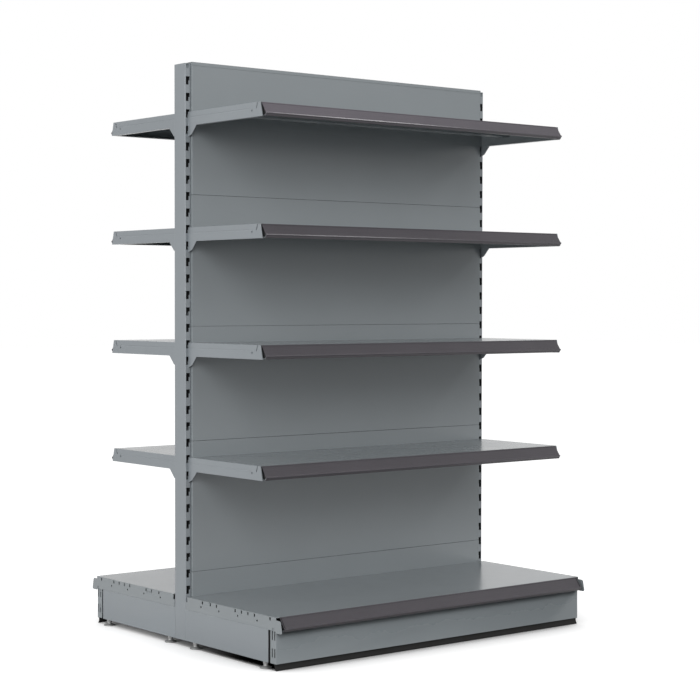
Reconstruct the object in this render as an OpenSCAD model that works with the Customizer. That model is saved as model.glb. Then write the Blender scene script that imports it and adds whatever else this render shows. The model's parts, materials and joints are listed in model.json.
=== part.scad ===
// Double-sided gondola shelving bay: two slotted uprights, stacked back panels,
// four shelf levels and a base deck on each side.
// The origin is on the floor, midway between the uprights. The front side faces -Y.

/* [Uprights] */
// Distance between the centres of the two uprights
bay_pitch = 1210; // [900:1:1330]
// Width of an upright, along the bay
upright_w = 20; // [20:1:30]
// Depth of an upright, from its front face to its rear face
upright_d = 60; // [54:1:90]
// Wall of an upright
upright_wall = 2; // [1.5:0.1:2.5]
// Outer corner radius of an upright
upright_corner_r = 2.5; // [2:0.5:3]
// Height of the underside of uprights and legs above the floor
ground_clearance = 20; // [18:1:30]
// Thickness of the cap on top of an upright
cap_t = 2; // [1:0.5:3]
// How deep the plug of the cap reaches into an upright
cap_plug_h = 12; // [6:1:25]

/* [Slots] */
// Height from one slot to the next
slot_pitch = 50; // [50:1:60]
// Height of the centre of the lowest slot above the floor
first_slot_z = 75; // [72:1:78]
// Height of a slot
slot_h = 25; // [24:1:27]
// Width of the upper half of a slot
slot_w = 14; // [12:0.5:15]
// Width of the lower half of a slot
slot_low_w = 10; // [9.5:0.5:10.5]

/* [Back panels] */
// Height of the underside of the lowest panel above the floor
panel_first_z = 30; // [24:1:34]
// Height of the lowest panel
low_panel_h = 200; // [180:1:210]
// Height of a tall panel
tall_panel_h = 400; // [390:1:410]
// Height of the short panel between the tall ones
short_panel_h = 350; // [340:1:360]
// Depth of the folded edges of a panel
panel_fold = 24; // [22:1:26]
// Sheet thickness of a panel
panel_sheet = 1; // [0.8:0.1:1.5]
// Seam left open between two stacked panels
panel_seam = 0.6; // [0.2:0.1:0.9]
// How far the face of a panel stands in front of the uprights
panel_stand = 7.5; // [6:0.5:9]
// Width of the folded lug that hangs a panel in an upright
lug_w = 10; // [8:1:12]

/* [Top rail and crossbars] */
// Height of the lips of the top rail
rail_lip_h = 9; // [7:1:20]
// How far the top rail stands above the uprights
rail_stand = 6; // [4:1:10]
// Height of a crossbar
crossbar_h = 40; // [30:1:60]
// Depth of a crossbar
crossbar_d = 20; // [16:1:24]
// Wall of a crossbar
crossbar_wall = 1.5; // [1:0.1:2.5]

/* [Shelves] */
// Number of shelf levels on each side
levels = 4; // [3:1:4]
// Slot that carries the lowest shelf, counted from the lowest slot
first_shelf_slot = 10; // [9:1:11]
// Number of slots from one shelf to the next
shelf_step = 7; // [6:1:7]
// Height of a shelf's top above the centre of its slot
shelf_rise = 5; // [4:0.5:6]
// Depth of an upper shelf, from the upright to its front edge
shelf_d = 372; // [300:1:430]
// Height of an upper shelf's skirts
shelf_h = 40; // [38:1:46]
// Sheet thickness of shelves and kick plates
sheet = 1.2; // [0.8:0.1:1.6]
// Gap between a shelf and what stands beside or behind it
shelf_gap = 1; // [0.5:0.1:2]
// Width of the hat stiffener under a shelf
stiffener_w = 44; // [30:1:60]
// Height of the hat stiffener under a shelf
stiffener_h = 16; // [10:1:24]
// How far the front of a shelf leans out from its top edge to its nose
nose_lean = 23; // [10:1:26]
// How far the lip under the nose folds back
lip_back = 4; // [2:0.5:8]
// Depth of the flange that closes the lip underneath
lip_flange = 14; // [8:1:20]

/* [Shelf brackets] */
// Thickness of a bracket's plate
bracket_t = 2; // [1.5:0.1:2.5]
// Height of a bracket where it meets the upright
bracket_root_h = 76; // [74:1:84]
// Width of the ledge that a shelf rests on
ledge_w = 12; // [8:1:18]
// How far the slanted end of a bracket leans out
bracket_lean = 11; // [8:1:18]
// Distance from the upright to the start of the gusset's slope
gusset_reach = 45; // [36:1:60]
// Width of the pressed line along a bracket
bead_w = 4; // [2:0.5:5]
// Depth of the pressed line along a bracket
bead_depth = 0.8; // [0.3:0.1:1]
// Depth of the pressed line below the bracket's top
bead_drop = 17; // [14:1:20]
// Diameter of the small hole near the front of a bracket
bracket_hole_d = 6; // [3:0.5:7]
// Height of a hook's neck
hook_neck_h = 10; // [8:0.5:11]
// Drop of a hook's tooth below its neck
hook_drop = 8; // [5:0.5:9]
// Thickness of a hook's tooth
hook_tooth = 3; // [2:0.5:4]

/* [Ticket strips] */
// Height of a ticket strip
strip_h = 32; // [26:1:34]
// Thickness of a ticket strip
strip_t = 2.4; // [1.8:0.1:3]
// Radius of the bead along a ticket strip's lower edge
strip_bead_r = 2; // [1.5:0.1:2.2]
// How far a ticket strip stops short of the shelf's end
strip_inset = 3; // [3:0.5:12]
// How far a base strip stops short of the deck's end
base_strip_inset = 12; // [6:0.5:16]

/* [Base] */
// Height of the base deck above the floor
deck_z = 155; // [152:1:160]
// Gap between the base deck and the back panels
deck_gap = 1.5; // [1:0.5:4]
// Distance from the upright to the front of the kick plate
kick_d = 462; // [420:1:560]
// How far the top front edge of the deck reaches past the kick plate
deck_overhang = 4; // [2:0.5:10]
// How far the end plates of the deck reach past its top front edge
end_plate_reach = 20; // [18:1:26]
// Depth of the kick plate's side returns
kick_return = 27; // [25:1:32]
// Height of the slots in the kick plate's returns
kick_slot_h = 26; // [22:1:28]
// Width of the slots in the kick plate's returns
kick_slot_w = 5; // [3.5:0.1:5.5]
// How far the kick plate lifts to come off its tabs
kick_lift = 8; // [5:1:9]
// Plate thickness of a base leg
leg_t = 2; // [1.5:0.1:2.5]
// Width of a divider notch in a side band of the deck
notch_w = 6; // [3:0.5:8]
// Height of a divider notch
notch_h = 9; // [6:0.5:11]
// Diameter of the holes in the side bands
band_hole_d = 6; // [4:0.5:8]

/* [Levelling feet] */
// Diameter of a foot's pad
foot_pad_d = 36; // [30:1:40]
// Height of a foot's pad
foot_pad_h = 6; // [4:1:7]
// Diameter of a foot's screw
foot_screw_d = 10; // [8:0.5:12]
// Radial clearance of a foot's screw in its leg
foot_clearance = 0.08; // [0.04:0.01:0.1]
// Thickness of the plate that holds a foot's screw
foot_plate_t = 5; // [4:0.5:7]
// Length of a foot's screw above the floor
foot_screw_top = 62; // [55:1:70]
// Distance from the upright to the near foot
near_foot = 40; // [34:1:50]
// Distance from the front of the kick plate back to the far foot
far_foot_back = 60; // [52:1:80]

/* [Hidden] */
$fn = 40;
FRONT = 0;
REAR = 180;
LEFT = 0;
RIGHT = 1;
SIDES = ["front", "rear"];
ENDS = ["left", "right"];
PLACES = ["near", "far"];

// A sliver by which cuts run past a face
cut = 1;
// A seat that flat pieces share without touching
seat = 0.3;
// Clearance of hooks, lugs and tabs in their slots
hook_clear = 0.2;

upright_x = bay_pitch / 2;
inner_x = upright_x - upright_w / 2;
outer_x = upright_x + upright_w / 2;
face_y = upright_d / 2;
panel_y = face_y + panel_stand;

// Panel heights from the floor up
panel_hs = [low_panel_h, tall_panel_h, short_panel_h, tall_panel_h, tall_panel_h];
panel_count = len(panel_hs);
panel_half = inner_x - seat;
lug_t = 3;
lug_tip = 2;
lug_play = 4;
lug_reach = upright_wall + lug_tip;
lug_end_margin = 30;
lug_from_fold_edge = 5;
lug_y = panel_y - panel_fold + lug_from_fold_edge;
lug_slot_h = lug_w + lug_play;

rail_sheet = sheet;
rail_y = panel_y + rail_sheet;
panel_top_z = panel_z(panel_count);
rail_top_z = panel_top_z + rail_sheet;
upright_top_z = rail_top_z - rail_stand;

slot_top_margin = 30;
slot_count = 1 + floor((upright_top_z - slot_top_margin - slot_h / 2 - first_slot_z) / slot_pitch);
plate_x = slot_low_w - slot_w / 2 - hook_clear - bracket_t;
tooth_gap = 0.3;

crossbar_margin = 60;
crossbar_zs = [panel_first_z + crossbar_margin, panel_z(3), panel_top_z - crossbar_margin];
bar_hook_t = 2;
bar_hook_h = crossbar_h / 2;
bar_neck_h = bar_hook_h / 2;

bracket_end = shelf_d;
arm_h = shelf_h + bracket_t;
gusset_toe = 20;
gusset_toe_rise = 8;
bead_start = 12;
bead_end_margin = 37;
bead_stop = bracket_end - bead_end_margin;
bracket_hole_back = 40;
bracket_hole_drop = 23;
notch_back = 13;
bracket_notch_w = 3.5;
bracket_notch_h = 18;
bracket_notch_slant = 8;

shelf_half = upright_x - plate_x - bracket_t - shelf_gap;
deck_half = outer_x;
strip_back = 0.2;
deck_d = kick_d + deck_overhang;
// Opening in a tray's nose, from the end sheet to just past the strip's end
opening_past = 1;
nose_opening_drop = 1.5;
// How far a shelf's end sheet stays behind the nose of its bracket
end_sheet_back = 1;
end_plate_drop = 8;
end_plate_lean = 6;
end_plate_back = 6;
end_plate_r = 4;
end_plate_toe = 5;
end_notch_w = 13;
end_notch_h = 8;
// Where the stiffeners lie, as shares of a tray's depth
stiffener_places = [0.34, 0.68];

// Base leg, seen from above
leg_top_z = deck_z - shelf_h;
return_gap = 9;
leg_flank_end = kick_d - kick_return - return_gap;
leg_front_gap = 10;
leg_front = kick_d - leg_front_gap;
cheek_inset = 14;
kick_back = kick_d - sheet;
kick_half = deck_half - sheet - seat;
kick_rise = 9;
kick_top_z = leg_top_z + kick_rise;
kick_slot_margin = 1;
kick_slot_top = leg_top_z - kick_slot_margin;
kick_slot_zs = [kick_slot_top - kick_slot_h, kick_slot_top - kick_slot_h - slot_pitch];
rear_slot_inset = 9;
front_slot_inset = 6;
kick_slot_ss = [kick_d - kick_return + rear_slot_inset, kick_d - front_slot_inset];
tab_t = 3;
tab_h = 10;
leg_tongue_w = 8.5;
leg_tongue_h = 8;
seal_floor_gap = 1;
seal_t = 3;
seal_lean = 6.5;
seal_bite = 2;
seal_rise = 12;
seal_top = ground_clearance + seal_rise;

// Where the divider notches and the holes lie in a side band, as shares of its depth
notch_places = [0.19, 0.28, 0.35, 0.56, 0.63, 0.7, 0.77, 0.935];
notch_drop = 1.5;
band_hole_places = [0.18, 0.385, 0.595, 0.805];
band_hole_drop = 21;

// Below a cut-off corner each side band reaches back to just before the upright
band_tail_s = 1;
band_corner_h = 16;

far_foot = kick_d - far_foot_back;
foot_collar_d = 17;
foot_plate_w = 50;
foot_neck_wall = 3;
foot_neck_d = foot_screw_d + 2 * foot_neck_wall;

// Powder coat, plastic and rubber, as the photograph shows them
PAINT = [0.52, 0.55, 0.56];
STRIP = [0.33, 0.31, 0.34];
SEAL = [0.06, 0.06, 0.06];
PAD = [0.55, 0.56, 0.57];

// Height of the underside of panel i, counted from 0, or of the stack's top
function panel_z(i) = panel_first_z + (i > 0 ? panel_sum(i - 1) : 0);
function panel_sum(i) = panel_hs[i] + (i > 0 ? panel_sum(i - 1) : 0);

// Height of a slot's centre, and of the top of the shelf on level i, counted from 1
function slot_z(i) = first_slot_z + slot_pitch * i;
function shelf_slot(i) = first_shelf_slot + shelf_step * (i - 1);
function shelf_z(i) = slot_z(shelf_slot(i)) + shelf_rise;

// Puts a front piece on its own side of the bay
module on_side(side) {
  rotate([0, 0, side]) children();
}

// Puts a piece drawn for the left end at the end that is wanted
module at_end(e) {
  if (e == LEFT) children();
  else mirror([1, 0, 0]) children();
}

// Puts a piece at both ends
module at_both_ends() {
  for (e = [LEFT, RIGHT]) at_end(e) children();
}

// Extrudes a side view along X from x. The side view's first axis runs outwards
// from the front face of the uprights, and its second axis is the height.
module side_view(x, length) {
  translate([x, -face_y, 0]) rotate([90, 0, 90]) linear_extrude(length) mirror([1, 0]) children();
}

// A box from one corner to the other, in the same outward measure
module block(x0, x1, s0, s1, z0, z1) {
  translate([x0, -face_y - s1, z0]) cube([x1 - x0, s1 - s0, z1 - z0]);
}

// A rectangle with round corners, centred
module round_rect(w, d, r) {
  square([w - 2 * r, d], center = true);
  square([w, d - 2 * r], center = true);
  for (x = [-1, 1], y = [-1, 1]) translate([x * (w / 2 - r), y * (d / 2 - r)]) circle(r);
}

// Side view of a hook whose neck rests at the height z, reaching inwards from 0
module hook_side(z, neck_h) {
  back = upright_wall + tooth_gap + hook_tooth;
  translate([-back, z]) square([back + cut, neck_h]);
  translate([-back, z - hook_drop]) square([hook_tooth, hook_drop + cut]);
}

// One slot, cut through both faces, drawn for the left upright at the origin
module slot_cut() {
  translate([-slot_w / 2, -upright_d, 0]) cube([slot_w, 2 * upright_d, slot_h / 2]);
  translate([-slot_w / 2, -upright_d, -slot_h / 2]) {
    cube([slot_low_w, 2 * upright_d, slot_h / 2 + cut]);
  }
}

// Slots in the inner wall for the panels' lugs
module lug_slots() {
  for (i = [0:panel_count - 1], y = [-lug_y, lug_y], z = lug_zs(i)) {
    translate([0, y - lug_t / 2 - hook_clear, z]) cube([upright_w, lug_t + 2 * hook_clear, lug_slot_h]);
  }
}

// Undersides of a panel's lugs
function lug_zs(i) = [
  panel_z(i) + lug_end_margin,
  panel_z(i) + panel_hs[i] - lug_end_margin - lug_w
];

// Slots in the inner wall for the crossbars' hooks
module bar_slots() {
  for (z = crossbar_zs) {
    translate([0, -bar_hook_t / 2 - hook_clear, z - bar_neck_h]) {
      cube([upright_w, bar_hook_t + 2 * hook_clear, bar_hook_h]);
    }
  }
}

module upright(e) {
  color(PAINT) at_end(e) translate([-upright_x, 0, 0]) difference() {
    translate([0, 0, ground_clearance]) linear_extrude(upright_top_z - ground_clearance) difference() {
      round_rect(upright_w, upright_d, upright_corner_r);
      square([upright_w - 2 * upright_wall, upright_d - 2 * upright_wall], center = true);
    }
    for (i = [0:slot_count - 1]) {
      translate([0, 0, slot_z(i)]) slot_cut();
    }
    translate([-slot_w / 2, -upright_d, slot_z(slot_count) - slot_h / 2]) {
      cube([slot_low_w, 2 * upright_d, slot_pitch]);
    }
    lug_slots();
    bar_slots();
  }
}

module upright_caps() {
  plug_w = upright_w - 2 * upright_wall - 2 * hook_clear;
  plug_d = upright_d - 2 * upright_wall - 2 * hook_clear;
  color(PAINT) at_both_ends() translate([-upright_x, 0, upright_top_z]) difference() {
    union() {
      linear_extrude(cap_t) round_rect(upright_w, upright_d, upright_corner_r);
      translate([0, 0, -cap_plug_h]) linear_extrude(cap_plug_h + cap_t / 2) {
        square([plug_w, plug_d], center = true);
      }
    }
    translate([0, 0, -cap_plug_h - cut]) linear_extrude(cap_plug_h + cut) {
      square([plug_w - 2 * cap_t, plug_d - 2 * cap_t], center = true);
    }
  }
}

module top_rail() {
  color(PAINT) difference() {
    translate([-panel_half, -rail_y, panel_top_z - rail_lip_h]) {
      cube([2 * panel_half, 2 * rail_y, rail_lip_h + rail_sheet]);
    }
    translate([-inner_x, -panel_y, panel_top_z - rail_lip_h - cut]) {
      cube([2 * inner_x, 2 * panel_y, rail_lip_h + cut]);
    }
  }
}

// One crossbar: a flat tube with a hook plate in each end
module crossbar(z) {
  translate([-panel_half, -crossbar_d / 2, z - crossbar_h / 2]) difference() {
    cube([2 * panel_half, crossbar_d, crossbar_h]);
    translate([-cut, crossbar_wall, crossbar_wall]) {
      cube([2 * inner_x, crossbar_d - 2 * crossbar_wall, crossbar_h - 2 * crossbar_wall]);
    }
  }
  tooth_x = inner_x + upright_wall + tooth_gap;
  bite = crossbar_wall / 2;
  at_both_ends() {
    translate([-panel_half, bite - crossbar_d / 2, z + bite - crossbar_h / 2]) {
      cube([bar_hook_t, crossbar_d - 2 * bite, crossbar_h - 2 * bite]);
    }
    translate([-tooth_x - bar_hook_t, -bar_hook_t / 2, z - bar_neck_h]) {
      cube([tooth_x + bar_hook_t - panel_half + cut, bar_hook_t, bar_neck_h]);
    }
    translate([-tooth_x - bar_hook_t, -bar_hook_t / 2, z - bar_neck_h - hook_drop]) {
      cube([bar_hook_t, bar_hook_t, hook_drop + cut]);
    }
  }
}

module crossbars() {
  color(PAINT) for (z = crossbar_zs) crossbar(z);
}

// A back panel: a tray with folded edges and two lugs at each end
module back_panel(side, i) {
  z0 = panel_z(i);
  h = panel_hs[i] - panel_seam;
  color(PAINT) on_side(side) {
    difference() {
      translate([-panel_half, -panel_y, z0]) cube([2 * panel_half, panel_fold, h]);
      translate([-panel_half + panel_sheet, -panel_y + panel_sheet, z0 + panel_sheet]) {
        cube([2 * (panel_half - panel_sheet), panel_fold, h - 2 * panel_sheet]);
      }
    }
    at_both_ends() for (z = lug_zs(i)) {
      translate([-inner_x - lug_reach, -lug_y - lug_t / 2, z]) {
        cube([lug_reach + seat + panel_sheet / 2, lug_t, lug_w]);
      }
    }
  }
}

// Side view of a bracket, with its top at the height 0
module bracket_side() {
  difference() {
    polygon([
      [0, 0], [bracket_end, 0], [bracket_end + bracket_lean, -arm_h], [gusset_reach, -arm_h],
      [gusset_toe, gusset_toe_rise - bracket_root_h], [0, -bracket_root_h]
    ]);
    translate([bracket_end - bracket_hole_back, -bracket_hole_drop]) circle(d = bracket_hole_d);
    translate([bracket_end - notch_back, 0]) polygon([
      [0, cut], [bracket_notch_w, cut],
      [bracket_notch_w - bracket_notch_slant, -bracket_notch_h],
      [-bracket_notch_slant, -bracket_notch_h]
    ]);
  }
}

// A left bracket: plate, two hooks, the pressed line and the ledge for the shelf
module bracket(i) {
  top = shelf_z(i);
  bead_z = top - bead_drop;
  x0 = -upright_x + plate_x;
  x1 = x0 + bracket_t + ledge_w;
  difference() {
    side_view(x0, bracket_t) {
      translate([0, top]) bracket_side();
      for (k = [0, 1]) hook_side(slot_z(shelf_slot(i) - k) - slot_h / 2, hook_neck_h);
    }
    block(x0 - cut, x0 + bead_depth, bead_start, bead_stop, bead_z - bead_w / 2, bead_z + bead_w / 2);
  }
  block(x0 + bracket_t / 2, x1, gusset_reach, bracket_end, top - arm_h, top - shelf_h);
}

module brackets(side, i) {
  color(PAINT) on_side(side) at_both_ends() bracket(i);
}

// Side view of a tray's outer shape. Its top is at the height 0, gap is the distance
// from the upright to its rear skirt, and d the distance to its front edge.
module shelf_side(gap, d) {
  top_s = d - strip_t - strip_back;
  nose_s = top_s + nose_lean;
  polygon([
    [gap, 0], [top_s, 0], [nose_s, -strip_h], [nose_s - lip_back, -shelf_h], [gap, -shelf_h]
  ]);
}

// Side view of the room inside a tray, open underneath
module shelf_room(gap, d) {
  front_t = sheet * norm([strip_h, nose_lean]) / strip_h;
  top_s = d - strip_t - strip_back - front_t;
  nose_s = top_s + nose_lean;
  inner_h = shelf_h - sheet;
  lean_at_top = nose_lean * sheet / strip_h;
  polygon([
    [gap + sheet, -sheet], [top_s + lean_at_top, -sheet], [nose_s, -strip_h],
    [nose_s - lip_back, -inner_h], [nose_s - lip_flange, -inner_h],
    [nose_s - lip_flange, -shelf_h - cut], [gap + sheet, -shelf_h - cut]
  ]);
}

// A tray with its top at the height z, reaching half to each side. Its front sheet
// is open beside the end sheets, where the ticket strip stops short by inset.
module tray(half, z, gap, d, inset) {
  open_s = d - strip_t - strip_back - 2 * sheet;
  open_z = z - nose_opening_drop;
  difference() {
    side_view(-half, 2 * half) translate([0, z]) shelf_side(gap, d);
    side_view(-half + sheet, 2 * (half - sheet)) translate([0, z]) shelf_room(gap, d);
    at_both_ends() {
      block(-half + sheet, -half + inset + opening_past, open_s, d + nose_lean, z - shelf_h - cut, open_z);
    }
  }
  end_x = half - sheet / 2;
  for (k = stiffener_places) {
    s0 = k * d - stiffener_w / 2;
    s1 = s0 + stiffener_w;
    difference() {
      block(-end_x, end_x, s0, s1, z - sheet - stiffener_h, z - sheet / 2);
      block(-half - cut, half + cut, s0 + sheet, s1 - sheet, z - stiffener_h, z);
    }
  }
}

// A ticket strip on a tray's nose
module strip(half, z, d, inset) {
  x0 = -half + inset;
  length = 2 * (half - inset);
  nose_s = d + nose_lean;
  side_view(x0, length) translate([0, z]) polygon([
    [d - strip_t, 0], [d, 0], [nose_s, -strip_h], [nose_s - strip_t, -strip_h]
  ]);
  translate([x0, -face_y - nose_s + strip_t - strip_bead_r, z - strip_h + strip_bead_r / 2]) {
    rotate([0, 90, 0]) cylinder(r = strip_bead_r, h = length);
  }
}

// Side view of what is cut off a shelf's ends, so that they stay behind the brackets
module nose_cut() {
  s0 = bracket_end - end_sheet_back;
  s1 = shelf_d + nose_lean + cut;
  polygon([[s0, -nose_opening_drop], [s0 + bracket_lean, -arm_h], [s1, -arm_h], [s1, -nose_opening_drop]]);
}

module shelf(side, i) {
  color(PAINT) on_side(side) difference() {
    tray(shelf_half, shelf_z(i), panel_stand + shelf_gap, shelf_d, strip_inset);
    at_both_ends() side_view(-shelf_half - cut, strip_inset + opening_past + cut) {
      translate([0, shelf_z(i)]) nose_cut();
    }
  }
}

module ticket_strip(side, i) {
  color(STRIP) on_side(side) strip(shelf_half, shelf_z(i), shelf_d, strip_inset);
}

// Side view of the plate that closes the nose of the base deck at its ends
module end_plate_side() {
  s0 = deck_d - end_plate_back;
  s1 = deck_d + end_plate_reach;
  z0 = leg_top_z - end_plate_toe;
  z1 = deck_z - end_plate_drop;
  s2 = s1 + end_plate_lean;
  polygon([
    [s0, leg_top_z], [s0, z1], [s1 - end_plate_r, z1], [s1, z1 - end_plate_r],
    [s2, z0 + end_plate_r], [s2 - end_plate_r, z0], [s0 + end_plate_toe, z0]
  ]);
}

// The base deck: a tray with notched side bands that stands on the legs
module base_deck(side) {
  notch_z = deck_z - sheet - notch_drop - notch_h;
  x0 = -deck_half - cut;
  x1 = -deck_half + sheet;
  tray_s = panel_stand + deck_gap;
  end_notch_s = deck_d - end_plate_back;
  corner_s = deck_d - strip_t - strip_back;
  color(PAINT) on_side(side) difference() {
    union() {
      tray(deck_half, deck_z, tray_s, deck_d, base_strip_inset);
      at_both_ends() side_view(-deck_half, sheet) end_plate_side();
      at_both_ends() {
        block(-deck_half, x1, band_tail_s, tray_s + sheet, leg_top_z, deck_z - band_corner_h);
      }
    }
    at_both_ends() {
      for (k = notch_places) {
        block(x0, x1, k * kick_d, k * kick_d + notch_w, notch_z, notch_z + notch_h);
      }
      for (k = band_hole_places) {
        translate([x0, -face_y - k * kick_d, deck_z - band_hole_drop]) {
          rotate([0, 90, 0]) cylinder(d = band_hole_d, h = x1 - x0);
        }
      }
      block(x0, x1, end_notch_s - end_notch_w, end_notch_s, leg_top_z - cut, leg_top_z + end_notch_h);
      block(x0, x1, corner_s, corner_s + nose_lean, deck_z - end_plate_drop, deck_z - sheet);
    }
  }
}

module base_ticket_strip(side) {
  color(STRIP) on_side(side) strip(deck_half, deck_z, deck_d, base_strip_inset);
}

// A base leg for the left end: folded plates, two hooks, foot plates and kick tabs
module leg() {
  x_out = -outer_x;
  x_in = -inner_x;
  x_cheek = x_out + cheek_inset;
  hook_x = -upright_x + plate_x;
  z0 = ground_clearance;
  top = leg_top_z;
  difference() {
    union() {
      block(x_out, x_out + leg_t, 0, leg_flank_end, z0, top);
      block(x_in - leg_t, x_in, 0, leg_front, z0, top);
      block(x_out, x_in, 0, leg_t, z0, top);
      block(x_out, x_in, 0, leg_flank_end, top - leg_t, top);
      block(x_cheek, x_in, leg_flank_end - leg_t, leg_front, top - leg_t, top);
      block(x_out, x_cheek + leg_t, leg_flank_end - leg_t, leg_flank_end, z0, top);
      block(x_cheek, x_cheek + leg_t, leg_flank_end - leg_t, leg_front, z0, top);
      block(x_cheek, x_in, leg_front - leg_t, leg_front, z0, top);
      block(hook_x, hook_x + leg_tongue_w, 0, leg_t, top - leg_tongue_h, top + leg_tongue_h);
      for (s = [near_foot, far_foot]) {
        plate_end = min(s + foot_plate_w / 2, leg_flank_end);
        block(x_out, x_in, s - foot_plate_w / 2, plate_end, z0, z0 + foot_plate_t);
      }
    }
    for (s = [near_foot, far_foot]) {
      translate([-upright_x, -face_y - s, z0 - cut]) {
        cylinder(d = foot_screw_d + 2 * foot_clearance, h = foot_plate_t + 2 * cut);
      }
    }
  }
  side_view(hook_x, bracket_t) {
    for (k = [0, 1]) hook_side(slot_z(k) - slot_h / 2, hook_neck_h);
  }
  tab_s = kick_slot_ss[0] - tab_t / 2;
  for (z = kick_slot_zs) {
    tab_top = z + kick_slot_h;
    block(-kick_half + hook_clear, x_cheek + leg_t / 2, tab_s, tab_s + tab_t, tab_top - tab_h, tab_top);
  }
}

module base_leg(side, e) {
  color(PAINT) on_side(side) at_end(e) leg();
}

// The kick plate: a front sheet with slotted returns that hang on the legs' tabs
module kick_plate(side) {
  z0 = ground_clearance;
  color(PAINT) on_side(side) {
    block(-kick_half, kick_half, kick_back, kick_d, z0, kick_top_z);
    at_both_ends() difference() {
      x1 = -kick_half + sheet;
      block(-kick_half, x1, kick_d - kick_return, kick_d - sheet / 2, z0, kick_top_z);
      for (s = kick_slot_ss, z = kick_slot_zs) {
        s0 = s - kick_slot_w / 2;
        block(-kick_half - cut, x1 + cut, s0, s0 + kick_slot_w, z, z + kick_slot_h);
      }
    }
  }
}

// The seal under the kick plate: a foot behind the plate and a slanted blade that
// stops just clear of the floor
module kick_seal(side) {
  half = kick_half - sheet - seat;
  root_s = kick_d - seal_t - seal_lean;
  foot_z = ground_clearance - seal_bite;
  color(SEAL) on_side(side) side_view(-half, 2 * half) {
    polygon([
      [kick_d - seal_t, seal_floor_gap], [kick_d, seal_floor_gap],
      [root_s + seal_t, foot_z], [kick_back - hook_clear, foot_z],
      [kick_back - hook_clear, seal_top], [root_s, seal_top], [root_s, foot_z]
    ]);
  }
}

// A levelling foot under the left leg: pad, collar and screw
module levelling_foot(s) {
  collar_top = ground_clearance - seat;
  translate([-upright_x, -face_y - s, 0]) {
    cylinder(d = foot_pad_d, h = foot_pad_h);
    cylinder(d = foot_neck_d, h = collar_top - foot_pad_h / 2);
    collar_h = (collar_top - foot_pad_h) / 2;
    translate([0, 0, collar_top - collar_h]) {
      cylinder(d = foot_collar_d, h = collar_h, $fn = 6);
    }
    cylinder(d = foot_screw_d, h = foot_screw_top);
  }
}

module foot(side, e, s) {
  color(PAD) on_side(side) at_end(e) levelling_foot(s);
}

upright(LEFT);  // upright_left
upright(RIGHT);  // upright_right
upright_caps();
top_rail();
crossbars();
for (side = [FRONT, REAR]) {
  word = side == FRONT ? "front" : "rear";
  for (i = [1:panel_count]) {
    back_panel(side, i - 1);
  }
  for (i = [1:levels]) {
    brackets(side, i);
    shelf(side, i);
    ticket_strip(side, i);
  }
  for (e = [LEFT, RIGHT]) {
    base_leg(side, e);
    foot(side, e, near_foot);
    foot(side, e, far_foot);
  }
  base_deck(side);
  base_ticket_strip(side);
  kick_plate(side);
  kick_seal(side);
}
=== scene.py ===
"""A double-sided gondola shelving bay, dressed for rendering.

Every sheet-metal piece starts as a copy of its CAD node, merged and cleaned, then
gets real fold radii and softened cut edges. Plastic, rubber and plated pieces are
drawn anew on the sizes of their nodes. Lengths are in metres; the origin is on the
floor, midway between the uprights, and the front side faces -Y.
"""

import json
import math

import bmesh
import bpy
from mathutils import Matrix, Vector


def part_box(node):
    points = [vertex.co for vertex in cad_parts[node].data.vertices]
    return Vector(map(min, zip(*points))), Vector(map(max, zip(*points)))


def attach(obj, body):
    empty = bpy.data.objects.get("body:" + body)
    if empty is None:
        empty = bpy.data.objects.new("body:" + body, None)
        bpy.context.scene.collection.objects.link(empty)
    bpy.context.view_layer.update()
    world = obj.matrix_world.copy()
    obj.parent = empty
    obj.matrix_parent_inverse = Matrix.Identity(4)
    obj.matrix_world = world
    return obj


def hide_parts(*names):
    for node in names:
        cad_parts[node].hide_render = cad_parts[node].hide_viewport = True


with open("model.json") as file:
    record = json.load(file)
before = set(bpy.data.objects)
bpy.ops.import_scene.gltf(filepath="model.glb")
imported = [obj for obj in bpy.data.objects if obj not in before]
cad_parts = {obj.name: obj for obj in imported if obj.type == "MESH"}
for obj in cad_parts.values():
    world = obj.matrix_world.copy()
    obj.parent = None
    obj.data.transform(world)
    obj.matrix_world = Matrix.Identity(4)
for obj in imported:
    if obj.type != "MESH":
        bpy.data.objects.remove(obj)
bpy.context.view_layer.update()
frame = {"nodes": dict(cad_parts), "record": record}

MM = 0.001
SIDES = ("front", "rear")


# Materials

# Places of the sockets on a Mix node that mixes colours
MIX_FACTOR, MIX_FIRST, MIX_SECOND, MIX_COLOUR = 0, 6, 7, 2


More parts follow.
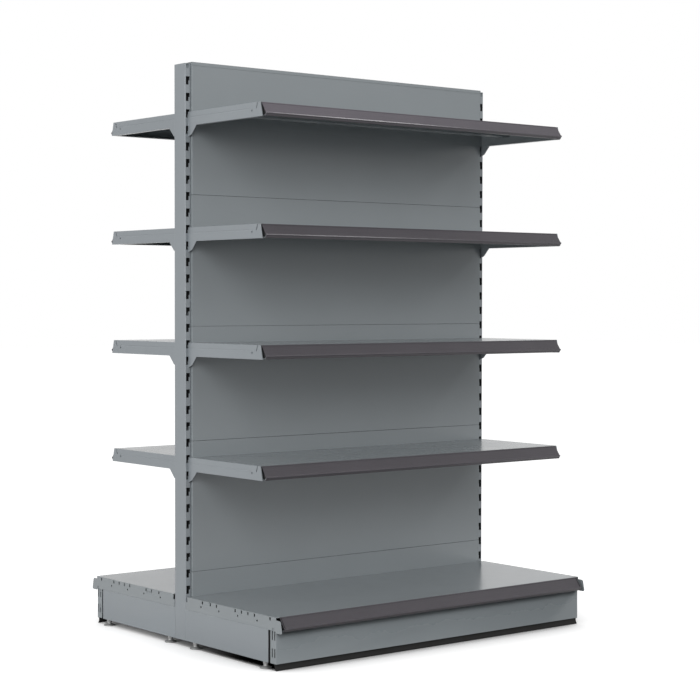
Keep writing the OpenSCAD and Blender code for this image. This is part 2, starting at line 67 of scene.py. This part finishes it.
class Wire:
    """A value in a shader graph that can be used in arithmetic."""

    def __init__(self, tree, socket=None):
        self.tree, self.socket = tree, socket

    def node(self, kind, settings=None, sockets=None, out=0):
        made = self.tree.nodes.new(kind)
        for name, value in (settings or {}).items():
            setattr(made, name, value)
        for name, value in (sockets or {}).items():
            if isinstance(value, Wire):
                self.tree.links.new(value.socket, made.inputs[name])
            else:
                made.inputs[name].default_value = value
        return Wire(self.tree, made.outputs[out])

    def math(self, operation, first, second):
        return self.node("ShaderNodeMath", {"operation": operation}, {0: first, 1: second})

    def __add__(self, other):
        return self.math("ADD", self, other)

    def __radd__(self, other):
        return self.math("ADD", other, self)

    def __sub__(self, other):
        return self.math("SUBTRACT", self, other)

    def __rsub__(self, other):
        return self.math("SUBTRACT", other, self)

    def __mul__(self, other):
        return self.math("MULTIPLY", self, other)

    def __rmul__(self, other):
        return self.math("MULTIPLY", other, self)

    def between(self, low, high):
        """0 below low, 1 above high, smooth in between."""
        return self.node("ShaderNodeMapRange", {"interpolation_type": "SMOOTHSTEP"},
                         {"Value": self, "From Min": low, "From Max": high})

    def tint(self, dark, light):
        """A colour from dark to light as the value goes from 0 to 1."""
        return self.mixed((*dark, 1.0), (*light, 1.0))

    def mixed(self, first, second):
        """The first colour where the value is 0, the second where it is 1."""
        return self.node("ShaderNodeMix", {"data_type": "RGBA"},
                         {MIX_FACTOR: self, MIX_FIRST: first, MIX_SECOND: second}, out=MIX_COLOUR)


class Material:
    """A Principled material whose varying inputs come from Wires."""

    def __init__(self, name):
        self.data = bpy.data.materials.new(name)
        self.data.use_nodes = True
        self.tree = self.data.node_tree
        self.shader = self.tree.nodes["Principled BSDF"]
        self.start = Wire(self.tree)
        self.place = self.start.node("ShaderNodeTexCoord", out="Object")

    def scaled(self, x, y, z):
        return self.start.node("ShaderNodeVectorMath", {"operation": "MULTIPLY"},
                               {0: self.place, 1: (x, y, z)})

    def noise(self, scale, detail=2.0, roughness=0.5, where=None):
        return self.start.node("ShaderNodeTexNoise", None,
                               {"Vector": where or self.place, "Scale": scale, "Detail": detail,
                                "Roughness": roughness})

    def axis(self, name):
        return self.start.node("ShaderNodeSeparateXYZ", None, {0: self.place}, out=name)

    def attribute(self, name):
        return self.start.node("ShaderNodeAttribute", {"attribute_name": name}, out="Fac")

    def bump(self, *layers):
        """Stacks bump layers, each (height, strength, distance)."""
        normal = None
        for height, strength, distance in layers:
            sockets = {"Height": height, "Strength": strength, "Distance": distance}
            if normal:
                sockets["Normal"] = normal
            normal = self.start.node("ShaderNodeBump", None, sockets)
        return normal

    def set(self, **values):
        for name, value in values.items():
            socket = self.shader.inputs[name.replace("_", " ")]
            if isinstance(value, Wire):
                self.tree.links.new(value.socket, socket)
            else:
                socket.default_value = value
        return self.data


def powder_coat(name, dark, light, roughness, waviness):
    """Semi-gloss powder coat on folded sheet: fine orange peel, slow waves, faint wear, and near-black
    painted shade on marked faces.
    """
    m = Material(name)
    cloud = m.noise(1.7, 3.0, 0.55)
    grain = m.noise(420.0, 1.0, 0.5)
    peel = m.noise(1500.0, 1.0, 0.4)
    wave = m.noise(2.6, 1.0, 0.4)
    smear = m.noise(9.0, 4.0, 0.6)
    low = 1.0 - m.axis("Z").between(0.02, 0.11)
    edge = m.attribute("fold")
    # Painted shade: faces marked for it turn near-black, inside tubes, in recesses and at the nose ends
    painted_shade = m.attribute("painted_shade")
    rub = m.noise(55.0, 3.0, 0.6).between(0.45, 0.70)
    shade = 0.5 + (cloud - 0.5) * 0.8 + (grain - 0.5) * 0.16 + edge * (0.25 + rub * 0.35) - low * 0.25
    return m.set(
        Base_Color=painted_shade.mixed(shade.tint(dark, light), (*PAINTED_SHADE_BLACK, 1.0)),
        Roughness=roughness + (smear - 0.5) * 0.10 + (cloud - 0.5) * 0.06 + low * 0.08 + painted_shade * 0.6,
        Specular_IOR_Level=0.5,
        Normal=m.bump((wave, 0.35, waviness), (peel, 0.10, 0.00004)))


# How much paler the PVC is where light is painted on it: the top shelves' strips and the bead's highlight
PAINTED_LIGHT_GAIN = 2.0


def pvc(name, dark, light):
    """Extruded dark PVC with a satin skin and faint drawing lines along the bay; painted light makes the top
    shelves' strips and the bead paler, and painted shade darkens the lower return.
    """
    m = Material(name)
    lines = m.noise(900.0, 2.0, 0.6, m.scaled(0.004, 1.0, 1.0))
    cloud = m.noise(5.0, 3.0, 0.6)
    rub = m.noise(60.0, 4.0, 0.7, m.scaled(0.3, 1.0, 1.0)).between(0.60, 0.72)
    part = m.attribute("part")
    bead = part.between(0.5, 1.0)
    lip = (0.0 - part).between(0.5, 1.0)
    # Painted light from above: the strips of the top shelves are paler, most of all at the left end
    painted_light_top = m.axis("Z").between(1.40, 1.56) * (1.0 - m.axis("X").between(-0.6, 0.7) * 0.55) * (1.0 - lip)
    # Painted shade: the lower return, which faces down, is darker
    shade = 0.45 + (cloud - 0.5) * 0.7 + (lines - 0.5) * 0.35 + rub * 0.25 - lip * 0.5
    skin = shade.tint(dark, light)
    painted_light_skin = shade.tint([c * PAINTED_LIGHT_GAIN for c in dark], [c * PAINTED_LIGHT_GAIN for c in light])
    return m.set(
        # Painted light: the paler top strips, and a painted highlight along the bead
        Base_Color=(painted_light_top + bead * 0.4).mixed(skin, painted_light_skin),
        Roughness=0.44 + (lines - 0.5) * 0.12 + rub * 0.12 - bead * 0.30,
        Specular_IOR_Level=0.4,
        Normal=m.bump((lines, 0.25, 0.00006)))


def rubber(name):
    """Matt black rubber with fine grain and some dust."""
    m = Material(name)
    grain = m.noise(700.0, 2.0, 0.5)
    dust = m.noise(22.0, 4.0, 0.65).between(0.45, 0.75)
    return m.set(
        Base_Color=(dust * 0.8).tint((0.004, 0.004, 0.004), (0.016, 0.015, 0.014)),
        Roughness=0.62 + dust * 0.22,
        Specular_IOR_Level=0.25,
        Normal=m.bump((grain, 0.3, 0.0001)))


def plating(name):
    """Zinc-plated steel: fine turned lines and cloudy tarnish."""
    m = Material(name)
    cloud = m.noise(60.0, 4.0, 0.6)
    lines = m.noise(1200.0, 1.0, 0.5, m.scaled(0.02, 0.02, 1.0))
    return m.set(
        Base_Color=(cloud + (lines - 0.5) * 0.3).tint((0.20, 0.205, 0.21), (0.36, 0.36, 0.355)),
        Metallic=0.7,
        Roughness=0.55 + (cloud - 0.5) * 0.20 + (lines - 0.5) * 0.1,
        Normal=m.bump((lines, 0.2, 0.00003)))


# Near-black of painted shade, standing for the deep shadow in tubes, recesses and nose ends
PAINTED_SHADE_BLACK = (0.012, 0.013, 0.014)
PAINT = powder_coat("grey powder coat", (0.200, 0.223, 0.236), (0.260, 0.286, 0.300), 0.24, 0.0012)
THICK_PAINT = powder_coat("grey powder coat on tube", (0.208, 0.231, 0.250), (0.270, 0.296, 0.316),
                          0.32, 0.0003)
CAP = powder_coat("grey moulded cap", (0.190, 0.216, 0.230), (0.240, 0.268, 0.283), 0.48, 0.0002)
STRIP = pvc("dark ticket strip", (0.036, 0.032, 0.039), (0.066, 0.059, 0.069))
RUBBER = rubber("black seal")
ZINC = plating("zinc plate")


# Meshes

# Corners that lie this close are one: in a CAD mesh, and in a turned one
MERGE, TURNED_MERGE = 2e-6, 1e-6
# Angles between faces: still flat, a fold, a cut edge, and an edge that stays sharp
FLAT_TURN, FOLD_TURN, CUT_TURN, SHARP_TURN = math.radians(0.6), 0.3, 0.45, math.radians(50)
# Least length of a fold, and least breadth of the faces beside it
FOLD_LENGTH, FOLD_BREADTH = 0.018, 4 * MM
# How worn folds and cut edges look, from 0 to 1
FOLD_WEAR, CUT_WEAR = 1.0, 0.8
# How much broad faces count over narrow ones in the even shading, where 50 is alike
BROAD_WEIGHT = 60


def finish_mesh(name, bm, material):
    """Turns a bmesh into a shaded object at the origin."""
    bmesh.ops.recalc_face_normals(bm, faces=bm.faces)
    mesh = bpy.data.meshes.new(name)
    bm.to_mesh(mesh)
    bm.free()
    for polygon in mesh.polygons:
        polygon.use_smooth = True
    mesh.set_sharp_from_angle(angle=SHARP_TURN)
    mesh.materials.append(material)
    obj = bpy.data.objects.new(name, mesh)
    bpy.context.scene.collection.objects.link(obj)
    shading = obj.modifiers.new("even shading", "WEIGHTED_NORMAL")
    shading.keep_sharp = True
    shading.weight = BROAD_WEIGHT
    return obj


def tidy_copy(node):
    """A merged copy of a CAD node's mesh, with its flat faces joined again."""
    bm = bmesh.new()
    bm.from_mesh(frame["nodes"][node].data)
    bmesh.ops.remove_doubles(bm, verts=bm.verts, dist=MERGE)
    bmesh.ops.dissolve_limit(bm, angle_limit=FLAT_TURN, verts=bm.verts, edges=bm.edges)
    bmesh.ops.recalc_face_normals(bm, faces=bm.faces)
    return bm


def is_fold(edge):
    """A convex edge between two broad faces, as a folded sheet has outside."""
    length = edge.calc_length()
    if len(edge.link_faces) != 2 or not edge.is_convex or length < FOLD_LENGTH:
        return False
    return edge.calc_face_angle() > FOLD_TURN and all(
        face.calc_area() / length > FOLD_BREADTH for face in edge.link_faces)


def is_cut(edge, shortest):
    """A convex edge that is long enough to be softened."""
    if len(edge.link_faces) != 2 or edge.calc_length() < shortest:
        return False
    return edge.is_convex and edge.calc_face_angle() > CUT_TURN


def rounded(bm, edges, width, segments):
    """Bevels the edges and gives back the new faces."""
    return bmesh.ops.bevel(bm, geom=edges, offset=width, offset_type="OFFSET", affect="EDGES",
                           segments=segments, profile=0.5, material=-1, clamp_overlap=True)["faces"]


def soften(bm, edges, width, segments, wear):
    """Rounds the edges of a sheet and marks how worn they look."""
    layer = bm.faces.layers.float["fold"]
    if edges:
        for face in rounded(bm, edges, width, segments):
            face[layer] = wear


# Middle of an upright, and half the width and depth of the room in its tube
UPRIGHT_X = 0.605
TUBE_HALF_W, TUBE_HALF_D = 8.2 * MM, 28.2 * MM
# A leg's recess behind the kick plate's return: its two sides, and where the leg's flank ends
RECESS_FROM, RECESS_TO = 600.5 * MM, 614 * MM
LEG_FLANK_END = 0.456
FLANK_EASE = 0.6 * MM


def in_upright(place):
    """Whether a place is inside the tube of an upright; such places get painted shade."""
    return abs(abs(place.x) - UPRIGHT_X) < TUBE_HALF_W and abs(place.y) < TUBE_HALF_D


def in_leg_shade(place):
    """Whether a place is on a leg's hooks, or in a front leg's recess behind the kick plate; such places get
    painted shade.
    """
    recessed = RECESS_FROM < abs(place.x) < RECESS_TO and place.y < FLANK_EASE - LEG_FLANK_END
    return in_upright(place) or recessed


def side_of(node):
    return "front" if "_front" in node else "rear"


# Inside of a tray's nose, in millimetres behind its tip and below its top: the upper and
# the lower end of its face, and how much it tucks in below that for each millimetre
NOSE_HIGH, NOSE_LOW, NOSE_TUCK = (23.8, 2.0), (2.2, 31.8), 0.6
RIB_THICKNESS = 1
# Plate of near-black painted shade in a deck's cut corner, in millimetres: from the middle of the bay
# outwards, below the deck's top, and inboard of its end
CORNER_OUT, CORNER_DROP, CORNER_INBOARD = (38.2, 38.9), (15.9, 2.0), (1.3, 16.0)


def painted_shade_ribs(bm, node, inboard, depth, fall):
    """Closes each end of a tray's nose with a rib that is near-black painted shade, standing for the deep
    shadow there.

    The rib lies inboard of the tray's end and reaches depth behind the tip and fall
    below the top, in millimetres. A deck gets a plate of near-black painted shade in each cut corner too.
    """
    side = side_of(node)
    lo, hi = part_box(node.replace("_rear", "_front"))
    tip, top = -lo[1], hi[2]
    (high_s, high_z), (low_s, low_z) = NOSE_HIGH, NOSE_LOW
    rib = [(tip - s * MM, top - z * MM, 0.0) for s, z in (
        (depth, high_z), (high_s, high_z), (low_s, low_z),
        (low_s + (fall - low_z) * NOSE_TUCK, fall), (depth, fall))]
    (s0, s1), (z0, z1), (x0, x1) = CORNER_OUT, CORNER_DROP, CORNER_INBOARD
    corner = [(s * MM, top - z * MM, 0.0) for s, z in ((s0, z0), (s1, z0), (s1, z1), (s0, z1))]
    before = set(bm.faces)
    for end in (-1, 1):
        extruded(bm, rib, end * (hi[0] - inboard * MM), end * (hi[0] - (inboard + RIB_THICKNESS) * MM), side)
        if "deck" in node:
            extruded(bm, corner, end * (hi[0] - x0 * MM), end * (hi[0] - x1 * MM), side)
    return set(bm.faces) - before


def sheet_copy(node, material, fold=0.0, cut=0.25 * MM, shortest=2 * MM, painted_shade=None, ribs=None):
    """A copy of a node with round folds, slightly softened cut edges, and painted shade marked on the faces
    that the given test picks and on the added ribs.
    """
    bm = tidy_copy(node)
    bm.faces.layers.float.new("fold")
    if fold:
        soften(bm, [e for e in bm.edges if is_fold(e)], fold, 3, FOLD_WEAR)
    soften(bm, [e for e in bm.edges if is_cut(e, shortest)], cut, 1, CUT_WEAR)
    # Mark for painted shade: inside tubes, in recesses, and on the ribs and corner plates
    painted_shade_layer = bm.faces.layers.float.new("painted_shade")
    dark = painted_shade_ribs(bm, node, *ribs) if ribs else set()
    for face in bm.faces:
        face[painted_shade_layer] = 1.0 if face in dark or painted_shade and painted_shade(face.calc_center_median()) else 0.0
    return finish_mesh(node + "_piece", bm, material)


# Places that differ by less than this are the same
SAME = 1e-7


def extruded(bm, outline, x0, x1, side):
    """Extrudes a closed outline of (outward, height, radius) corners along the bay.

    Outward is measured from the middle of the bay towards the front; the rear piece
    is the front one turned half round.
    """
    turn = -1 if side == "rear" else 1
    ring = [bm.verts.new((turn * x0, -turn * outward, height)) for outward, height, _ in outline]
    made = bmesh.ops.extrude_face_region(bm, geom=[bm.faces.new(ring)])
    far = [v for v in made["geom"] if isinstance(v, bmesh.types.BMVert)]
    bmesh.ops.translate(bm, verts=far, vec=(turn * (x1 - x0), 0, 0))
    rounds = {}
    for vert, (_, _, radius) in zip(ring, outline):
        along = [e for e in vert.link_edges if abs(e.other_vert(vert).co.x - turn * x1) < SAME]
        rounds.setdefault(radius, []).extend(along)
    for radius in sorted(rounds):
        if radius:
            rounded(bm, rounds[radius], radius, 4)


def turned(bm, outline, centre, steps):
    """Spins an (r, z) outline that starts and ends on the axis."""
    verts = [bm.verts.new((centre[0] + r, centre[1], z)) for r, z in outline]
    edges = [bm.edges.new(pair) for pair in zip(verts, verts[1:])]
    bmesh.ops.spin(bm, geom=verts + edges, cent=(centre[0], centre[1], 0), axis=(0, 0, 1),
                   angle=math.tau, steps=steps, use_merge=True, use_duplicate=False)
    bmesh.ops.remove_doubles(bm, verts=bm.verts, dist=TURNED_MERGE)


def add_piece(obj, body, slot, *nodes):
    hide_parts(*nodes)
    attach(obj, body)


def body_of(node):
    for body, members in frame["record"]["behaviour"]["bodies"].items():
        if node in members:
            return body
    raise ValueError(node)


# Folded sheet, tube and plate

# Start of the node's name, its material, and what sheet_copy is told beyond that
SHEETS = (
    ("back_panel", PAINT, {"fold": 1.2 * MM}),
    ("top_rail", PAINT, {"fold": 1.2 * MM}),
    ("upright_caps", CAP, {"cut": 0.5 * MM}),
    # in_upright and in_leg_shade pick the faces that get painted shade
    ("upright", THICK_PAINT, {"cut": 0.3 * MM, "painted_shade": in_upright}),
    ("crossbars", THICK_PAINT, {"cut": 0.3 * MM}),
    ("brackets", THICK_PAINT, {"cut": 0.35 * MM, "shortest": 1 * MM, "painted_shade": in_upright}),
    ("base_leg", THICK_PAINT, {"fold": 2.6 * MM, "cut": 0.3 * MM, "painted_shade": in_leg_shade}),
    # The ribs and the decks' corner plates are near-black painted shade
    ("shelf", PAINT, {"fold": 1.6 * MM, "ribs": (7.0, 46.0, 37.5)}),
    ("base_deck", PAINT, {"fold": 2.0 * MM, "ribs": (15.0, 25.0, 33.0)}),
    ("kick_plate", PAINT, {"fold": 1.4 * MM}),
)


def sheet_pieces():
    for node in frame["nodes"]:
        for start, material, told in SHEETS:
            if node.startswith(start):
                slot = "grey_cap" if material == CAP else "grey_powder_coat"
                add_piece(sheet_copy(node, material, **told), body_of(node), slot, node)
                break


# Extruded and turned pieces

# The named lengths from here to the feet are in millimetres
# A strip's face leans out by STRIP_LEAN over STRIP_FALL, and it reaches STRIP_REACH in front of the tray
STRIP_FALL, STRIP_LEAN, STRIP_REACH = 32.0, 23.0, 24.6
# Corners of its face above the ribs and below them: how far down it, how far off it, radius
FACE_TOP = ((-1.0, -1.95, 0.2), (0.1, -0.1, 0.7), (3.4, 0, 0.3), (3.7, -0.9, 0), (4.7, -0.9, 0),
            (5.0, -0.45, 0.15))
FACE_END = (36.4, -0.45, 0.3)
RIB_PLACES = (10.0, 16.5, 23.0, 29.5)
RIB_HALF, RIB_STAND, RIB_RADIUS, BED_STAND = 0.7, -0.1, 0.2, -0.45
# Corners of its bead and lower return: outwards, upwards from its top, radius
LIP = ((23.7, -29.2, 0.8), (24.5, -33.4, 1.0), (22.0, -34.6, 0.4), (18.2, -40.9, 0.9), (12.0, -40.9, 0.3),
       (12.0, -40.15, 0.2), (16.75, -40.15, 0), (20.7, -33.4, 0))
# Where the bead and the return start below its top, and how far out both lie
BEAD_FROM, LIP_FROM, BEAD_OUT = 28.9, 34.0, 12.0
# Marks of their faces, which the material reads: for the bead's gloss and painted highlight, and the return's
# painted shade
BEAD_MARK, LIP_MARK = 1.0, -1.0


def strip_outline(top, front):
    """A ticket strip: upper rail, ribbed bed for the tickets, bead and lower return."""
    slope = math.hypot(STRIP_FALL, STRIP_LEAN)
    down, out = STRIP_FALL / slope, STRIP_LEAN / slope
    face = list(FACE_TOP)
    for place in RIB_PLACES:
        face += [(place - RIB_HALF, BED_STAND, 0), (place, RIB_STAND, RIB_RADIUS),
                 (place + RIB_HALF, BED_STAND, 0)]
    face.append(FACE_END)
    outline = [(front + (out * fall + down * stand) * MM, top + (out * stand - down * fall) * MM, radius * MM)
               for fall, stand, radius in face]
    return outline + [(front + outward * MM, top + height * MM, radius * MM)
                      for outward, height, radius in LIP]


def ticket_strips():
    for node in frame["nodes"]:
        if "ticket_strip" in node:
            lo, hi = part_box(node.replace("_rear", "_front"))
            front = -lo[1] - STRIP_REACH * MM
            bm = bmesh.new()
            extruded(bm, strip_outline(hi[2], front), lo[0], hi[0], side_of(node))
            mark = bm.faces.layers.float.new("part")
            for face in bm.faces:
                middle = face.calc_center_median()
                fall = (hi[2] - middle.z) / MM
                if abs(middle.y) > front + BEAD_OUT * MM and fall > BEAD_FROM:
                    face[mark] = BEAD_MARK if fall < LIP_FROM else LIP_MARK
            add_piece(finish_mesh(node + "_piece", bm, STRIP), body_of(node), "ticket_strip", node)


def seal_outline(tip, top):
    """Corners of a seal: back from the blade's tip, height, radius."""
    corners = ((0.0, 1.2, 0.5), (2.2, 3.8, 1.5), (4.6, 9.0, 2.5), (6.2, 18.0, 0.6), (1.45, 18.0, 0.3),
               (1.45, top / MM, 0.3), (9.4, top / MM, 0.5), (9.4, 17.0, 1.0), (7.9, 9.2, 2.5),
               (5.2, 2.6, 1.5), (2.4, 1.0, 0.4))
    return [(tip - back * MM, height * MM, radius * MM) for back, height, radius in corners]


def kick_seals():
    """A clamped foot behind the kick plate and a blade that flares out to the floor."""
    lo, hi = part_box("kick_seal_front")
    for side in SIDES:
        node = f"kick_seal_{side}"
        bm = bmesh.new()
        extruded(bm, seal_outline(-lo[1], hi[2]), lo[0], hi[0], side)
        add_piece(finish_mesh(node + "_piece", bm, RUBBER), body_of(node), "black_seal", node)


# A foot from its axis out over the pad, up the neck and in to the screw: radius, height
FOOT_OUTLINE = ((0, 0), (16.8, 0), (17.7, 0.5), (18.0, 1.4), (18.0, 2.6), (17.4, 3.6), (12.0, 5.4),
                (8.6, 6.6), (7.4, 8.0), (7.0, 10.0), (7.2, 12.0), (7.6, 13.4), (7.6, 19.5), (4.9, 19.6))
# The end of its screw: radius, drop from the top
SCREW_END = ((4.2, 1.4), (3.2, 0), (0, 0))
THREAD_FROM, THREAD_TO_TOP, THREAD_PITCH = 20.6, 2.2, 1.5
THREAD_ROOT, THREAD_CREST = 4.25, 4.95
HEXAGON_RADIUS, HEXAGON_HEIGHT, HEXAGON_MIDDLE, HEXAGON_ROUND = 8.5, 6.4, 16.3, 0.5
FOOT_STEPS = 28


def foot_outline(top):
    """A foot's outline with its thread, up to the top of the screw."""
    shape = list(FOOT_OUTLINE)
    height = THREAD_FROM
    while height < top - THREAD_TO_TOP:
        shape += [(THREAD_ROOT, height), (THREAD_CREST, height + THREAD_PITCH / 2)]
        height += THREAD_PITCH
    shape += [(radius, top - drop) for radius, drop in SCREW_END]
    return [(radius * MM, height * MM) for radius, height in shape]


def levelling_feet():
    """Each foot: a domed pad, a waisted neck, a hexagon for the spanner and a threaded screw."""
    for node in frame["nodes"]:
        if node.startswith("foot"):
            lo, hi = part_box(node)
            centre = ((lo[0] + hi[0]) / 2, (lo[1] + hi[1]) / 2)
            bm = bmesh.new()
            turned(bm, foot_outline(hi[2] / MM), centre, FOOT_STEPS)
            radius, middle = HEXAGON_RADIUS * MM, HEXAGON_MIDDLE * MM
            hexagon = bmesh.ops.create_cone(
                bm, cap_ends=True, segments=6, radius1=radius, radius2=radius, depth=HEXAGON_HEIGHT * MM,
                matrix=Matrix.Translation((*centre, middle)))
            rims = {e for v in hexagon["verts"] for e in v.link_edges}
            rounded(bm, list(rims), HEXAGON_ROUND * MM, 2)
            add_piece(finish_mesh(node + "_piece", bm, ZINC), body_of(node), "foot_plating", node)


sheet_pieces()
ticket_strips()
kick_seals()
levelling_feet()


# Floor, light and camera

def seen_directly(start):
    """1 for the camera and for what gloss and glass show, 0 for the light that falls on the object."""
    seen = start.node("ShaderNodeLightPath", out="Is Camera Ray")
    for kind in ("Is Glossy Ray", "Is Transmission Ray"):
        seen = seen.math("MAXIMUM", seen, start.node("ShaderNodeLightPath", out=kind))
    return seen


FLOOR_HALF = 30.0
# How brightly the floor glows by itself in the open, and how far the object shades it
GLOW, SHADE_REACH = 0.62, 0.35
# Greys of the floor: for the light that it throws back, and as it is seen
FLOOR_GREY, FLOOR_PALE = 0.22, 0.92
# The deeper shade by the front base: how far back along Y it is full, and where it has ended
NEAR_FULL, NEAR_NONE = -0.30, 0.30
# How open to the air a place is where that shade is full, and where it has ended
SHADE_FULL, SHADE_NONE = 0.15, 0.62
AIM = Vector((0, 0, 0.8))
# Name, place, size and power
LAMPS = (
    ("left softbox", (-7.2, -1.0, 1.7), 3.0, 200.0),
    ("near softbox", (-5.2, -5.8, 4.2), 3.0, 190.0),
    ("front softbox", (0.5, -7.0, 4.4), 4.0, 110.0),
    ("right softbox", (4.1, -5.3, 4.0), 1.0, 30.0),
)
BLACK, WHITE = (0.0, 0.0, 0.0), (1.0, 1.0, 1.0, 1.0)
# Strength of the white surroundings: for the light on the object, and as they are seen
SOFT, PLAIN = 0.5, 1.0


def studio_floor():
    """A pale floor that keeps the object's shadow, deeper close to the front base."""
    floor = bpy.data.meshes.new("studio_floor")
    corners = [(x * FLOOR_HALF, y * FLOOR_HALF, 0) for x, y in ((-1, -1), (1, -1), (1, 1), (-1, 1))]
    floor.from_pydata(corners, [], [(0, 1, 2, 3)])
    ground = bpy.data.materials.new("studio floor")
    ground.use_nodes = True
    ground.node_tree.nodes.clear()
    start = Wire(ground.node_tree)
    open_air = start.node("ShaderNodeAmbientOcclusion", {"samples": 16}, {"Distance": SHADE_REACH}, out="AO")
    place = start.node("ShaderNodeTexCoord", out="Object")
    across = start.node("ShaderNodeSeparateXYZ", None, {0: place}, out="Y")
    near = 1.0 - across.between(NEAR_FULL, NEAR_NONE)
    contact = 1.0 - near * (1.0 - open_air.between(SHADE_FULL, SHADE_NONE))
    shade = start.node("ShaderNodeBsdfDiffuse", None, {"Color": (FLOOR_GREY, FLOOR_GREY, FLOOR_GREY, 1.0)})
    glow = (open_air * contact * (1.0 - near * (1.0 - open_air))).tint(BLACK, (GLOW, GLOW, GLOW))
    lift = start.node("ShaderNodeEmission", None, {"Color": glow, "Strength": 1.0})
    seen = contact.tint(BLACK, (FLOOR_PALE, FLOOR_PALE, FLOOR_PALE))
    pale = start.node("ShaderNodeBsdfDiffuse", None, {"Color": seen})
    lit = start.node("ShaderNodeAddShader", None, {0: pale, 1: lift})
    mix = start.node("ShaderNodeMixShader", None, {0: seen_directly(start), 1: shade, 2: lit})
    end = ground.node_tree.nodes.new("ShaderNodeOutputMaterial")
    ground.node_tree.links.new(mix.socket, end.inputs["Surface"])
    floor.materials.append(ground)
    plane = bpy.data.objects.new("studio_floor", floor)
    bpy.context.scene.collection.objects.link(plane)


def studio_light():
    """White surroundings and four soft lamps."""
    world = bpy.data.worlds.new("studio")
    bpy.context.scene.world = world
    world.use_nodes = True
    tree = world.node_tree
    tree.nodes.clear()
    start = Wire(tree)
    soft = start.node("ShaderNodeBackground", None, {"Color": WHITE, "Strength": SOFT})
    plain = start.node("ShaderNodeBackground", None, {"Color": WHITE, "Strength": PLAIN})
    both = start.node("ShaderNodeMixShader", None, {0: seen_directly(start), 1: soft, 2: plain})
    end = tree.nodes.new("ShaderNodeOutputWorld")
    tree.links.new(both.socket, end.inputs["Surface"])

    for name, place, size, power in LAMPS:
        light = bpy.data.lights.new(name, "AREA")
        light.size = size
        light.energy = power
        lamp = bpy.data.objects.new(name, light)
        lamp.location = place
        lamp.rotation_euler = (AIM - Vector(place)).to_track_quat("-Z", "Y").to_euler()
        bpy.context.scene.collection.objects.link(lamp)


# The photograph's viewpoint, found by fitting the slots and corners
CAMERA_PLACE = (-3.6438, -4.6016, 1.0609)
YAW, PITCH, ROLL = 0.6765, 0.0279, 0.0014
FOCAL_PIXELS, PICTURE_PIXELS = 1797.5, 700.0
SENSOR = 36.0


def photo_camera():
    ahead = Vector((math.sin(YAW) * math.cos(PITCH), math.cos(YAW) * math.cos(PITCH), -math.sin(PITCH)))
    right = Vector((math.cos(YAW), -math.sin(YAW), 0.0))
    up = right.cross(ahead)
    right, up = (math.cos(ROLL) * right + math.sin(ROLL) * up, -math.sin(ROLL) * right + math.cos(ROLL) * up)
    data = bpy.data.cameras.new("photo camera")
    data.sensor_width = SENSOR
    data.lens = SENSOR * FOCAL_PIXELS / PICTURE_PIXELS
    data.clip_end = 200.0
    camera = bpy.data.objects.new("photo camera", data)
    turn = Matrix((right, up, -ahead)).transposed().to_4x4()
    camera.matrix_world = Matrix.Translation(CAMERA_PLACE) @ turn
    bpy.context.scene.collection.objects.link(camera)
    bpy.context.scene.camera = camera


studio_floor()
studio_light()
photo_camera()
bpy.context.scene.view_settings.view_transform = "Standard"
